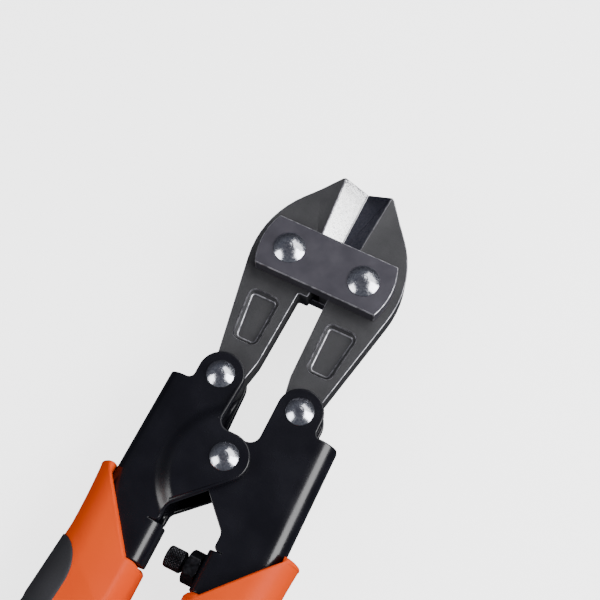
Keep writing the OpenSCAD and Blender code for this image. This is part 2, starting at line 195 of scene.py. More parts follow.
def forgedSteel():
    # phosphated forged steel: fine matt crystals, so a dark grey with soft, wide highlights
    mat, tree, shader, place = newMaterial("phosphatedForgedSteel")
    crystals = noise(tree, place, 0.24, 3.0)
    patches = noise(tree, place, 7, 2.0)
    mixed = addNode(tree, "ShaderNodeMath", [(0, crystals), (1, patches)], operation="MULTIPLY")
    colour = ramp(tree, mixed.outputs[0], [(0.12, "#434345"), (0.25, "#49494b"), (0.42, "#505052")])
    rough = ramp(tree, crystals, [(0.3, 0.42), (0.7, 0.58)])
    dress(tree, shader, colour, rough, (crystals, 0.6, 0.05), Metallic=0.55)
    return mat


def plateSteel():
    # phosphated blanked plate: the same finish on cold-rolled stock, flatter and a touch bluer
    mat, tree, shader, place = newMaterial("phosphatedPlate")
    crystals = noise(tree, place, 0.2, 3.0)
    smears = noise(tree, place, 5, 3.0)
    colour = ramp(tree, smears, [(0.3, "#48464e"), (0.5, "#4e4c54"), (0.72, "#56545c")])
    rough = ramp(tree, crystals, [(0.3, 0.4), (0.7, 0.55)])
    dress(tree, shader, colour, rough, (crystals, 0.3, 0.02), Metallic=0.55)
    return mat


def wornEdgeAndPaintedHighlight():
    # phosphate rubbed thin along an edge, where grey steel shows through, and partly a painted highlight: a
    # thin pale line on every broken edge
    mat, tree, shader, place = newMaterial("rubbedEdgeAndPaintedHighlight")
    rub = noise(tree, place, 1.4, 4.0)
    colour = ramp(tree, rub, [(0.35, "#6b6a70"), (0.6, "#b5b4ba")])
    rough = ramp(tree, rub, [(0.3, 0.42), (0.7, 0.3)])
    dress(tree, shader, colour, rough, Metallic=0.8)
    return mat


def groundSteel(name, stops, roughness, pitShade):
    # wheel-ground steel: fine grinding lines across the bevel, and the forging's skin left in pits
    # towards the tip. How pale it is comes from the stops, which paint light on the left jaw's bevel and
    # shade on the right jaw's
    mat, tree, shader, place = newMaterial(name)
    lay = addNode(tree, "ShaderNodeMapping", [("Vector", place)], Scale=(1.0, 14.0, 1.0))
    lines = noise(tree, lay.outputs[0], 1.6, 5.0)
    specks = noise(tree, place, 0.5, 4.0)
    rough = ramp(tree, lines, [(0.3, roughness), (0.7, roughness + 0.12)])
    along = addNode(tree, "ShaderNodeSeparateXYZ", [("Vector", place)])
    nearTip = addNode(tree, "ShaderNodeMapRange", [("Value", along.outputs["Y"])],
                      From_Min=(tipY - 4.5) * mm, From_Max=(tipY - 1) * mm)
    pits = ramp(tree, noise(tree, place, 0.5, 1.0), [(0.5, 0.0), (0.58, 1.0)])
    pitted = addNode(tree, "ShaderNodeMath", [(0, pits), (1, nearTip.outputs[0])], operation="MULTIPLY")
    shade = ramp(tree, pitted.outputs[0], [(0.0, "#ffffff"), (1.0, pitShade)])
    colour = addNode(tree, "ShaderNodeVectorMath", [(0, ramp(tree, specks, stops)), (1, shade)],
                     operation="MULTIPLY")
    dress(tree, shader, colour.outputs[0], rough, (lines, 0.25, 0.02), Metallic=1.0)
    return mat


def zincRivet():
    # bright zinc plate on a cold-headed rivet: soft mirror with slight ripples from the header
    mat, tree, shader, place = newMaterial("zincPlatedRivet")
    ripples = noise(tree, place, 2.2, 2.0)
    haze = noise(tree, place, 0.5, 3.0)
    colour = ramp(tree, haze, [(0.3, "#b4b6c2"), (0.6, "#d7d8de")])
    rough = ramp(tree, haze, [(0.35, 0.16), (0.7, 0.26)])
    dress(tree, shader, colour, rough, (ripples, 0.5, 0.12), Metallic=1.0)
    return mat


def handleEnamel():
    # stoved enamel on pressed sheet: deep black, slight orange peel, wide soft highlights
    mat, tree, shader, place = newMaterial("stovedBlackEnamel")
    peel = noise(tree, place, 1.1, 2.0)
    dust = noise(tree, place, 9, 3.0)
    colour = ramp(tree, dust, [(0.3, "#0d0d13"), (0.7, "#13131a")])
    rough = ramp(tree, dust, [(0.3, 0.22), (0.7, 0.3)])
    dress(tree, shader, colour, rough, (peel, 0.12, 0.05))
    return mat


def mouldedGrip():
    # PP moulded with a fine spark-eroded texture: satin orange without hard reflections
    mat, tree, shader, place = newMaterial("orangeMouldedPP")
    spark = noise(tree, place, 0.25, 2.0)
    flow = noise(tree, place, 18, 2.0)
    colour = ramp(tree, flow, [(0.3, "#e64806"), (0.7, "#ea4e09")])
    rough = ramp(tree, spark, [(0.3, 0.5), (0.7, 0.6)])
    dress(tree, shader, colour, rough, (spark, 0.2, 0.02), IOR=1.4, Specular_IOR_Level=0.25)
    return mat


def softInsert():
    # TPR overmould: matt, slightly dusty charcoal
    mat, tree, shader, place = newMaterial("blackOvermouldTPR")
    grain = noise(tree, place, 0.35, 3.0)
    wear = noise(tree, place, 12, 3.0)
    colour = ramp(tree, wear, [(0.3, "#202024"), (0.7, "#2a2a2f")])
    rough = ramp(tree, grain, [(0.3, 0.6), (0.7, 0.75)])
    dress(tree, shader, colour, rough, (grain, 0.4, 0.04))
    return mat


def blackOxide():
    # black oxide on a turned screw: thin, oily and nearly black, with metal under it
    mat, tree, shader, place = newMaterial("blackOxideSteel")
    oil = noise(tree, place, 0.8, 4.0)
    colour = ramp(tree, oil, [(0.3, "#17171a"), (0.7, "#2c2c31")])
    rough = ramp(tree, oil, [(0.3, 0.3), (0.7, 0.45)])
    dress(tree, shader, colour, rough, (oil, 0.3, 0.03), Metallic=0.8)
    return mat


def turnedSteel():
    # plain turned steel, oiled: mid grey with fine rings
    mat, tree, shader, place = newMaterial("turnedSteel")
    lay = addNode(tree, "ShaderNodeMapping", [("Vector", place)], Scale=(1.0, 1.0, 8.0))
    rings = noise(tree, lay.outputs[0], 0.8, 3.0)
    colour = ramp(tree, rings, [(0.3, "#6b6b70"), (0.7, "#8c8c92")])
    rough = ramp(tree, rings, [(0.3, 0.3), (0.7, 0.45)])
    dress(tree, shader, colour, rough, Metallic=1.0)
    return mat


# the edge material is rubbed wear and a painted highlight together, put on every broken edge of jaws and
# plates
forged, plateMat, edgeWearAndHighlightMat = forgedSteel(), plateSteel(), wornEdgeAndPaintedHighlight()
# one ground steel twice over: the left jaw's bevel gets pale stops as painted light, the right jaw's bevel
# dark stops as painted shade
groundMatPaintedLit = groundSteel("groundSteelPaintedLit", [(0.34, "#b4b4b6"), (0.46, "#e2e2e3"), (0.7, "#f0f0f0")],
                        0.24, "#7c7c80")
groundMatPaintedShade = groundSteel("groundSteelPaintedShade", [(0.3, "#62626f"), (0.6, "#757582")], 0.3, "#c8c8cc")
zinc, enamel, orangePP, blackTPR = zincRivet(), handleEnamel(), mouldedGrip(), softInsert()
oxide, turned = blackOxide(), turnedSteel()
print("materials ready")


def brokenEdgeCopy(name, node, edge, mats, groundAbove=None):
    # a merged copy of the CAD node with its sharp edges broken. The narrow new faces take mats[1],
    # and the cutting bevels, which slope across X above groundAbove, take mats[2].
    # Big flat faces keep their own normals, so only the broken edges and long curves shade smoothly.
    bm = bmesh.new()
    bm.from_mesh(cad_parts[node].data)
    bmesh.ops.remove_doubles(bm, verts=bm.verts, dist=0.002 * mm)
    bmesh.ops.dissolve_limit(bm, angle_limit=radians(0.6), verts=bm.verts, edges=bm.edges)
    for face in bm.faces:
        isHigh = groundAbove is not None and face.calc_center_median().y / mm > groundAbove
        isSloping = 0.4 < abs(face.normal.x) < 0.7 and abs(face.normal.z) > 0.7
        face.material_index = 2 if isHigh and isSloping else 0
    sharp = [e for e in bm.edges if len(e.link_faces) == 2
             and e.calc_face_angle(0) > radians(edge["angle"])]
    bmesh.ops.bevel(bm, geom=sharp, offset=edge["width"] * mm, segments=edge["segments"],
                    profile=0.5, affect="EDGES", clamp_overlap=False, material=1)
    for e in bm.edges:
        limit = 50 if any(f.material_index == 1 for f in e.link_faces) else 7.5
        e.smooth = len(e.link_faces) == 2 and e.calc_face_angle(0) < radians(limit)
    for face in bm.faces:
        face.smooth = True
    mesh = bpy.data.meshes.new(name)
    bm.to_mesh(mesh)
    bm.free()
    for mat in mats:
        mesh.materials.append(mat)
    piece = bpy.data.objects.new(name, mesh)
    bpy.context.scene.collection.objects.link(piece)
    weigh = piece.modifiers.new("flatFaces", "WEIGHTED_NORMAL")
    weigh.keep_sharp = True
    weigh.weight = 90
    return piece


# edges sharper than angle degrees are broken over width millimetres
jaws = dict(edge=dict(width=0.22, segments=2, angle=20), groundAbove=pivotOf["right"][1] + 2)
for side in sides:
    # the left bevel takes the copy with painted light, the right bevel the copy with painted shade
    bevelMat = groundMatPaintedLit if side == "left" else groundMatPaintedShade
    jaw = brokenEdgeCopy(side + "Jaw", side + "_jaw", jaws["edge"], [forged, edgeWearAndHighlightMat, bevelMat],
                         jaws["groundAbove"])
    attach(jaw, "jaw_" + side)
    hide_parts(side + "_jaw")

plates = dict(edge=dict(width=0.3, segments=2, angle=25))
for end in ("front", "rear"):
    plate = brokenEdgeCopy(end + "LinkPlate", end + "_link_plate", plates["edge"], [plateMat, edgeWearAndHighlightMat])
    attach(plate, "head")
    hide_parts(end + "_link_plate")
print("jaws and link plates")


rivets = dict(jawShank=3.0, toggleShank=2.5, dimple=0.9, dimpleDepth=0.05, rim=0.22, domePower=1.9, steps=96)


def headProfile(radius, height):
    # (radius, height) pairs of a cold-headed dome, from its rim to the shallow dimple in its middle:
    # height falls with a power of the distance from the middle
    share = np.linspace(1, 0, 34)
    r = (radius - 0.06) * share
    dip = rivets["dimpleDepth"] * (1 - smoothStep((r - rivets["dimple"] + 0.25) / 0.5))
    h = rivets["rim"] + (height - rivets["rim"]) * (1 - share ** rivets["domePower"]) - dip
    rim = np.array([[radius - 0.1, 0], [radius, 0.07], [radius, rivets["rim"] - 0.07]])
    return np.concatenate([rim, np.stack([r, h], -1)])


def makeRivet(name, node, body, shankR, seat):
    # shank between two heads, all one turned profile from one dimple to the other
    lo, hi, mid = boxMm(node)
    radius, height = (hi[0] - lo[0]) / 2, (hi[2] - lo[2]) / 2 - seat
    head = headProfile(radius, height) + [[0, seat]]
    low = head[::-1] * [[1, -1]]
    shank = np.array([[shankR, -seat], [shankR, seat]])
    points, faces = lathe(np.concatenate([low, shank, head]), rivets["steps"], mid)
    piece = makePiece(name, points, faces, zinc, 40)
    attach(piece, body)
    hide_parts(node)


for side in sides:
    makeRivet(side + "JawRivet", side + "_jaw_rivet", "head", rivets["jawShank"], plateTop)
    makeRivet(side + "ToggleRivet", side + "_toggle_rivet", "handle_" + side, rivets["toggleShank"],
              flangeTop)
makeRivet("centreRivet", "centre_rivet", "handle_right", rivets["toggleShank"], outerTop)
print("rivets")


# handles: pressed channels, folded from a flat blank
sheet = dict(thick=2.4, bend=4.4, tabBend=3.2, lean=0.7, taper=3.5, earR=5.8, discR=6.0, throatR=2.6,
             shoulderR=1.5, shoulderX=22.5, shoulderDrop=3.9, gap=7.3, cornerR=2.4, tabProud=1.1,
             tabDrop=4.2, tabLength=10.4, slitTop=0.06, slitEnd=0.3, slitIn=0.2, halfGap=0.05,
             step=1.8, edge=0.3,
             joggleX=-4.2, joggleDrop=3.0, joggleIn=14.3, joggleOut=19.4)


def insetRings(outline, profile):
    # one ring of points for every (inset, height) of the edge profile, moved along the mitre
    before, after = outline - np.roll(outline, 1, 0), np.roll(outline, -1, 0) - outline
    before = before / np.linalg.norm(before, axis=1, keepdims=True)
    after = after / np.linalg.norm(after, axis=1, keepdims=True)
    mitre = np.stack([-(before + after)[:, 1], (before + after)[:, 0]], -1)
    mitre = mitre * 2 / np.maximum((mitre ** 2).sum(1, keepdims=True), 1.2)
    return [(outline + mitre * inset, height) for inset, height in profile]


def isInside(points, outline):
    # a point is inside when a line from it to the far left crosses the outline an odd number of times
    x, y = points[:, 0, None], points[:, 1, None]
    a, b = outline[None], np.roll(outline, -1, 0)[None]
    spans = (a[..., 1] > y) != (b[..., 1] > y)
    rise = np.where(spans, b[..., 1] - a[..., 1], 1)
    return ((spans & (x > a[..., 0] + (y - a[..., 1]) * (b[..., 0] - a[..., 0]) / rise)).sum(1) % 2) == 1


def handleLevels():
    # places along the handle, from its shoulder down to its end, and how far its web leans out
    s = sheet
    n = dict(cy=centrePin[1], shoulderY=toggleOf["right"][1] - s["shoulderDrop"], endY=handleLo[1],
             lean=np.tan(radians(s["lean"])))
    n["cornerY"] = n["cy"] - 2 * s["discR"] * np.sqrt(0.5) - s["gap"]
    n["tabTop"] = n["cornerY"] - s["tabDrop"]
    n["tabEnd"] = n["tabTop"] - s["tabLength"]
    return n


def handleBlank():
    # half of the flat blank, from the middle of the web round the flange and the tab and back
    s, n = sheet, handleLevels()
    tx, ty = toggleOf["right"][:2]
    cy = n["cy"]
    n["foldX"] = s["gap"] - s["tabProud"] + s["tabBend"]
    n["tabFolds"] = s["tabBend"] * np.radians(np.linspace(0, 90, 10))
    n["folds"] = s["bend"] * np.radians(np.linspace(0, 90, 10))
    n["web"] = s["bend"] * pi / 2 + flangeTop - s["bend"]
    straight = np.linspace(n["folds"][-1], n["web"], 4)[1:]
    n["lines"] = np.r_[n["folds"], straight]
    bendX = lambda y: s["shoulderX"] + (n["shoulderY"] - y) * n["lean"] - s["bend"]
    n["bendX"] = bendX  # where the flange's flat ends and the bend to the web begins
    webTop = [(bendX(n["shoulderY"]) + d, n["shoulderY"], 0) for d in n["lines"][::-1]]
    webEnd = [(bendX(n["endY"]) + d, n["endY"], 0) for d in n["lines"]]
    right, left = tx + s["earR"], tx - s["earR"]
    turn = np.radians(np.linspace(0, 180, 46))
    ear = [(tx + s["earR"] * np.cos(a), ty + s["earR"] * np.sin(a), 0) for a in turn]
    turn = np.radians(np.linspace(90, 225, 36))
    disc = [(s["discR"] * np.cos(a), cy + s["discR"] * np.sin(a), 0) for a in turn]
    deep = n["foldX"] - s["tabBend"] * (pi / 2 - 1) - flangeTop + s["halfGap"]
    relief = n["foldX"] + s["slitIn"]
    tabLines = n["foldX"] - n["tabFolds"]
    corners = webTop + [(right, n["shoulderY"], s["shoulderR"])] + ear
    corners += [(left, cy + s["discR"], s["throatR"])] + disc
    slitTop, slitEnd = n["tabTop"] + s["slitTop"], n["tabEnd"] - s["slitEnd"]
    corners += [(s["gap"], n["cornerY"], s["cornerR"]), (s["gap"], slitTop, 1.2), (relief, slitTop, 0),
                (relief, n["tabTop"], 0)]
    corners += [(x, n["tabTop"], 0) for x in tabLines] + [(deep, n["tabTop"], 1.0)]
    corners += [(deep, n["tabEnd"], 1.0)] + [(x, n["tabEnd"], 0) for x in tabLines[::-1]]
    inner = s["gap"] + s["step"]
    corners += [(relief, n["tabEnd"], 0), (relief, slitEnd, 0), (inner, slitEnd, 0),
                (inner + (n["tabEnd"] - n["endY"]) * np.tan(radians(s["taper"])), n["endY"], 0)]
    corners += webEnd
    return roundCorners(corners, stepDegrees=9), n


def foldBlank(across, y, height, joggled, n):
    # The blank is flat in the web's middle plane: across is the developed distance from the middle
    # of the web. Each half turns a quarter circle at the bend line and another at the tab's fold;
    # height is measured along the local normal. The joggle is a smooth step over a round area.
    s = sheet
    front = np.where(across > 0, -1.0, 1.0)
    x = n["bendX"](y) + n["web"] - np.abs(across)
    isTab = (x < n["foldX"]) & (y < n["tabTop"] + 0.02) & (y > n["tabEnd"] - 0.02)
    base = np.where(isTab, n["foldX"], n["bendX"](y))
    way = np.where(isTab, -1.0, 1.0)
    bend = np.where(isTab, s["tabBend"], s["bend"])
    run = np.maximum((x - base) * way, 0)
    t = np.minimum(run / bend, pi / 2)
    straight = run - bend * t
    isFlat = (run == 0)
    px = np.where(isFlat, x, base + way * bend * np.sin(t)) + way * np.sin(t) * height
    pz = flangeTop - bend * (1 - np.cos(t)) - straight + np.cos(t) * height
    if joggled:
        r = np.hypot(px - s["joggleX"], y - (n["cy"] - s["joggleDrop"]))
        step = smoothStep((s["joggleOut"] - r) / (s["joggleOut"] - s["joggleIn"]))
        pz = pz + (outerTop - flangeTop) * step
    return np.stack([px, y, front * pz], -1)


def makeHandle(side, joggled):
    half, n = handleBlank()
    half = np.stack([half[:, 0] - n["bendX"](half[:, 1]) - n["web"], half[:, 1]], -1)
    half = half[np.r_[True, np.linalg.norm(np.diff(half, axis=0), axis=1) > 0.02]]
    outline = np.vstack([half, (half * [[-1, 1]])[-2:0:-1]])
    e, thick = sheet["edge"], sheet["thick"]
    turn = np.radians([0, 30, 60, 90])
    upper = [(2 * e, 0)] + [(e * (1 - np.sin(a)), -e * (1 - np.cos(a))) for a in turn]
    lower = [(w, -thick - h) for w, h in upper[::-1]]
    rings = insetRings(outline, upper + lower)
    cap = rings[0][0]

    # lines of points inside: along the bends, the tab's fold and rings over the joggle
    inside, edges = [], []

    def addLine(across, y):
        first = len(cap) + sum(len(p) for p in inside)
        keep = isInside(np.stack([across, y], -1), cap)
        inside.append(np.stack([across, y], -1)[keep])
        edges.extend([first + i, first + i + 1] for i in range(int(keep.sum()) - 1))

    rows = np.linspace(n["shoulderY"] - 1.3, n["endY"] + 1.3, 70)
    tabRows = np.linspace(n["tabTop"] - 0.9, n["tabEnd"] + 0.9, 12)
    for sign in (-1, 1):
        for d in np.r_[-0.3, n["lines"][:-1]]:
            addLine(sign * (n["web"] - d) + 0 * rows, rows)
        for d in np.r_[-0.3, n["tabFolds"]]:
            addLine(sign * (n["bendX"](tabRows) + n["web"] - n["foldX"] + d), tabRows)
    addLine(0 * rows, rows)
    if joggled:
        for r in np.arange(sheet["joggleIn"] - 0.6, sheet["joggleOut"] + 0.7, 0.4):
            a = np.linspace(0, 2 * pi, 150, endpoint=False) + r
            x = sheet["joggleX"] + r * np.cos(a)
            y = n["cy"] - sheet["joggleDrop"] + r * np.sin(a)
            clear = (x < n["bendX"](y) - 0.5) & ((x > n["foldX"] + 0.5) | (y > n["tabTop"] + 0.9))
            x, y = x[clear], y[clear]
            for sign in (-1, 1):
                ring = np.stack([sign * (n["bendX"](y) + n["web"] - x), y], -1)
                inside.append(ring[isInside(ring, cap)])
    flat = np.vstack([cap] + inside)
    found = delaunay_2d_cdt([Vector(p) for p in flat], edges, [list(range(len(cap)))], 1, 1e-5)
    capPoints = np.array([list(v) for v in found[0]])
    capFaces = [list(f) for f in found[2]]

    points, faces = [], []
    for ring, height in rings:
        points.append(foldBlank(ring[:, 0], ring[:, 1], height, joggled, n))
    count = len(outline)
    for k in range(len(rings) - 1):
        i = np.arange(count)
        j = (i + 1) % count
        faces += np.stack([i + k * count, j + k * count, j + (k + 1) * count, i + (k + 1) * count],
                          -1).tolist()
    for height, turned in ((0, False), (-thick, True)):
        start = sum(len(p) for p in points)
        points.append(foldBlank(capPoints[:, 0], capPoints[:, 1], height, joggled, n))
        faces += [[start + i for i in (f[::-1] if turned else f)] for f in capFaces]
    whole = np.vstack(points) * [[1 if side == "right" else -1, 1, 1]] + [[0, 0, midZ]]
    piece = makePiece(side + "Handle", whole, faces, enamel, 50)
    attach(piece, "handle_" + side)
    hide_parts(side + "_handle")


makeHandle("right", False)
makeHandle("left", True)
print("handles")


gripShape = dict(mouthDrop=26.4, mouthX=9.5, mouthRun=45, mouthRound=3.0, rightDrop=1.9, wall=2.9,
                 flare=1.2, lean=3.5, sweep=7.0, inStart=1.9, inLean=6.8, half=10.2, nose=1.2,
                 frontRun=9.0, crease=3.2, crown=0.25, endR=7.0, endNarrow=9.6)
insertShape = dict(drop=19.6, end=9.0, wide=8.3, frontRound=10, tailRound=12, proud=0.3, sink=0.12,
                   ribs=7, ribPitch=7.5, ribHalf=1.5, ribDepth=0.2, ribShift=4, backing=1.2)


def gripLevels():
    # the handle's levels, with the grip's own mouth and end
    n = handleLevels()
    n["mouthY"] = n["shoulderY"] - gripShape["mouthDrop"]
    n["gripEnd"] = gripLo[1]
    return n


def gripEdges(y):
    # the two side edges and the half thickness at y: flared at the mouth, leaning out below it and
    # swept out further at the end
    s, g, n = sheet, gripShape, gripLevels()
    insertY = n["mouthY"] - insertShape["drop"]
    down = np.clip((n["mouthY"] - y) / (n["mouthY"] - n["gripEnd"]), 0, 1)
    swept = g["sweep"] * down ** 2.2
    nose = np.clip((y - insertY) / insertShape["drop"], 0, 1.1)
    wallX = s["shoulderX"] + (n["shoulderY"] - np.maximum(y, n["endY"])) * n["lean"]
    leanOut = np.maximum(0, insertY + 3 - y) * np.tan(radians(g["lean"]))
    outX = wallX + g["wall"] + g["flare"] * nose ** 2 + leanOut + 0.2 * swept
    inX = s["gap"] - g["inStart"] + g["inLean"] * np.maximum(0, down - 0.13) + 0.5 * swept
    return inX, outX, g["half"] - g["nose"] * nose


def gripSection(y):
    # closed section in x and z at each y: a shallow bow on the inner side, a crisp crease, a
    # slightly crowned face, and a round outer side that is a quarter of an ellipse each way
    g = gripShape
    inX, outX, halfZ = (v[:, None] for v in gripEdges(y))
    bow = np.linspace(-1, 1, 25)[None, 1:-1]
    face = np.linspace(0, 1, 21)[None, :]
    turn = np.radians(np.linspace(90, -90, 49))[None, 1:-1]
    x0, x1 = inX + g["crease"], outX - g["frontRun"]
    edgeZ = halfZ - g["crown"]
    faceX = x0 + (x1 - x0) * face
    faceZ = edgeZ + g["crown"] * (1 - (2 * face - 1) ** 2)
    ellipseX = x1 + g["frontRun"] * np.cos(turn)
    bowX = inX + g["crease"] * np.abs(bow) ** 2.4
    x = np.hstack([faceX, ellipseX, faceX[:, ::-1], bowX])
    z = np.hstack([faceZ, edgeZ * np.sin(turn), -faceZ[:, ::-1], edgeZ * bow])
    for _ in range(2):  # each point moves to the mean of itself and its neighbours
        x = (np.roll(x, 1, 1) + 2 * x + np.roll(x, -1, 1)) / 4
        z = (np.roll(z, 1, 1) + 2 * z + np.roll(z, -1, 1)) / 4
    return x, z


def makeGrip(side):
    # the sections from mouth to end on one grid, with the rim's rows before them and the end's after
    s, g, n = sheet, gripShape, gripLevels()
    mouthY, run = n["mouthY"], g["mouthRun"]
    lowY = n["tabEnd"] - 0.1
    sign = 1 if side == "right" else -1
    rows = np.r_[np.linspace(mouthY, mouthY - run, 60),
                 np.linspace(mouthY - run, n["gripEnd"] + g["endR"], 60)[1:]]
    x, z = gripSection(rows)
    # the mouth slants from the outer side down to the stop tab and is round at its inner corner
    drop = g["rightDrop"] if side == "right" else 0
    tipX = s["shoulderX"] + (n["shoulderY"] - mouthY) * n["lean"] + g["wall"] / 2
    slope = (mouthY - drop - lowY) / (tipX - g["mouthX"])

    def slant(px):
        line = -drop - np.clip((tipX - px) * slope, 0, mouthY - drop - lowY)
        t = np.clip((g["mouthX"] - 2 - px) / g["mouthRound"], 0, 1)
        return line - g["mouthRound"] * (1 - np.sqrt(1 - t ** 2))

    fade = np.clip(1 - (mouthY - rows) / run, 0, 1)[:, None]
    y = rows[:, None] + slant(x) * smoothStep(fade)
    # rim: from the metal wall out to the skin, as (share of the way in to the metal, height)
    wallX = s["shoulderX"] + (n["shoulderY"] - y[0]) * n["lean"]
    metalX = np.clip(x[0], s["gap"] + s["step"] - 0.1, wallX)
    metalZ = np.clip(z[0], -flangeTop, flangeTop)
    rim = [(1.0, -6.0), (1.0, 0.0), (0.42, 0.0), (0.24, -0.06), (0.1, -0.28), (0.02, -0.62)]
    rimX = np.stack([x[0] + (metalX - x[0]) * w for w, _ in rim])
    rimZ = np.stack([z[0] + (metalZ - z[0]) * w for w, _ in rim])
    rimY = np.stack([y[0] + dy for _, dy in rim])
    y[0] = y[0] - 1.1
    # end: the section closes over a quarter circle
    turn = np.radians(np.linspace(8, 90, 10))[:, None]
    midX = x[-1].mean()
    shrink = 1 - (1 - np.cos(turn)) * g["endR"] / g["endNarrow"]
    endX = midX + (x[-1][None] - midX) * shrink
    endZ = z[-1][None] * shrink
    endRows = n["gripEnd"] + g["endR"] * (1 - np.sin(turn)) + 0 * endX
    capX, capZ = np.full((1, x.shape[1]), midX), np.zeros((1, x.shape[1]))
    gx = np.vstack([rimX, x, endX, capX])
    gy = np.vstack([rimY, y, endRows, np.full(capX.shape, n["gripEnd"])])
    gz = np.vstack([rimZ, z, endZ, capZ])
    points = np.stack([sign * gx, gy, gz + midZ], -1).reshape(-1, 3)
    faces = gridFaces(gx.shape[0], gx.shape[1], closeCols=True)
    piece = makePiece(side + "Grip", points, faces + [list(range(gx.shape[1]))], orangePP, 38)
    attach(piece, "handle_" + side)
    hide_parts(side + "_grip")


def makeInsert(side):
    # a soft pad over the outer side: at each y it spans plus and minus an angle of the outer
    # ellipse, and that angle opens and closes like a quarter circle at its two ends
    g, p, n = gripShape, insertShape, gripLevels()
    sign = 1 if side == "right" else -1
    top, low = n["mouthY"] - p["drop"], n["gripEnd"] + p["end"]
    v = 0.5 - 0.5 * np.cos(np.linspace(0, pi, 170))
    y = top + (low - top) * v
    inX, outX, halfZ = gripEdges(y)
    opening = np.sqrt(np.clip(1 - (1 - np.clip((top - y) / p["frontRound"], 0, 1)) ** 2, 0, 1))
    closing = np.sqrt(np.clip(1 - (1 - np.clip((y - low) / p["tailRound"], 0, 1)) ** 2, 0, 1))
    wide = p["wide"] / g["frontRun"]
    reach = np.arccos(np.clip(1 - wide * opening * closing, -1, 1))[:, None]
    share = np.sin(np.linspace(-pi / 2, pi / 2, 61))[None, :]
    angle = share * reach
    # height over the grip: rounded shoulder at its border, shallow grooves across the palm side
    toEdge = np.minimum((1 - np.abs(share)) * reach * 9, 3)
    shoulder = np.sqrt(np.clip(1 - (1 - np.clip(toEdge / 0.9, 0, 1)) ** 2, 0, 1))
    ribMid = (top + low) / 2 + p["ribShift"]
    ribs = np.zeros((len(y), 1))
    for k in range(p["ribs"]):
        at = ribMid + (k - (p["ribs"] - 1) / 2) * p["ribPitch"]
        ribs = np.maximum(ribs, smoothStep(1 - np.abs(y[:, None] - at) / p["ribHalf"]))
    ribs = ribs * smoothStep(1.25 - np.abs(angle) / 0.9)
    height = -p["sink"] + (p["proud"] + p["sink"]) * shoulder - p["ribDepth"] * ribs * shoulder
    rx, rz = g["frontRun"], (halfZ - g["crown"])[:, None]
    px = (outX[:, None] - rx) + rx * np.cos(angle)
    pz = rz * np.sin(angle)
    nx, nz = np.cos(angle) / rx, np.sin(angle) / rz
    size = np.hypot(nx, nz)
    px, pz = px + height * nx / size, pz + height * nz / size
    points = np.stack([sign * px, y[:, None] + 0 * px, pz + midZ], -1).reshape(-1, 3)
    piece = makePiece(side + "GripInsert", points, gridFaces(px.shape[0], px.shape[1]), blackTPR, 60)
    # an open sheet has no inside, so its faces are turned outwards before it gets its thickness
    bm = bmesh.new()
    bm.from_mesh(piece.data)
    bm.faces.ensure_lookup_table()
    middle = max(bm.faces, key=lambda f: sign * f.calc_center_median().x)
    if middle.normal.x * sign < 0:
        bmesh.ops.reverse_faces(bm, faces=bm.faces)
    bm.to_mesh(piece.data)
    bm.free()
    backing = piece.modifiers.new("backing", "SOLIDIFY")
    backing.thickness = p["backing"] * mm
    backing.offset = -1
    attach(piece, "handle_" + side)
    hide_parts(side + "_grip_insert")


for side in sides:
    makeGrip(side)
    makeInsert(side)
print("grips and inserts")


screw = dict(shankR=2.0, headGap=0.6, chamfer=0.75, diamonds=22, knurlDepth=0.28, pitch=0.7,
             threadDepth=0.38)
nut = dict(bore=2.05, mouth=0.35, cornerCut=0.08, coneShare=0.97)
collars = dict(screwBore=2.05, rivetBore=2.55, edge=0.35, steps=72)


def alongX(points, centre):  # a shape turned round Z is laid along X
    return np.stack([points[:, 2], points[:, 0], points[:, 1]], -1) + np.asarray(centre)


def makeScrew():
    # knurled head: the radius falls along two crossing sets of spiral grooves, and each end is
    # rounded; shank: one thread, a triangle wave along a helix
    lo, hi, mid = boxMm("adjusting_screw")
    nutLo = boxMm("lock_nut")[0]
    radius = (hi[2] - lo[2]) / 2
    headEnd = nutLo[0] - screw["headGap"]
    t = np.linspace(0, 2 * pi, 176, endpoint=False)[None, :]
    h = np.linspace(lo[0], headEnd, 56)[:, None]
    inside = np.minimum(h - lo[0], headEnd - h)
    c = screw["chamfer"]
    chamfer = c * (1 - np.sqrt(np.clip(1 - (1 - np.clip(inside / c, 0, 1)) ** 2, 0, 1)))
    n = screw["diamonds"]
    twist = 2 * pi * radius / n
    spiralA = np.abs(((t * n / (2 * pi) + h / twist) % 1) - 0.5) * 2
    spiralB = np.abs(((t * n / (2 * pi) - h / twist) % 1) - 0.5) * 2
    groove = np.maximum(np.clip(spiralA * 2.4 - 1.4, 0, 1), np.clip(spiralB * 2.4 - 1.4, 0, 1))
    knurled = smoothStep((inside - 0.35) / 0.5)
    r = radius - chamfer - screw["knurlDepth"] * groove * knurled
    hs = np.arange(headEnd, hi[0] + 0.05, screw["pitch"] / 8)[:, None]
    wave = np.abs(((hs / screw["pitch"] + t / (2 * pi)) % 1) - 0.5) * 2
    rs = screw["shankR"] - screw["threadDepth"] * (1 - wave) * smoothStep((hs - headEnd) / 0.5)
    rs = rs * (1 - 0.35 * smoothStep((hs - hi[0] + 1.0) / 1.0))
    allR = np.vstack([0 * t, r, rs, 0 * t])
    allH = np.vstack([[[lo[0]]], h, hs, [[hi[0]]]]) + 0 * t
    points = np.stack([allH, mid[1] + allR * np.cos(t), midZ + allR * np.sin(t)], -1).reshape(-1, 3)
    piece = makePiece("adjustingScrew", points, gridFaces(allR.shape[0], t.shape[1], closeCols=True),
                      oxide, 40)
    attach(piece, "stop_screw")
    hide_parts("adjusting_screw")


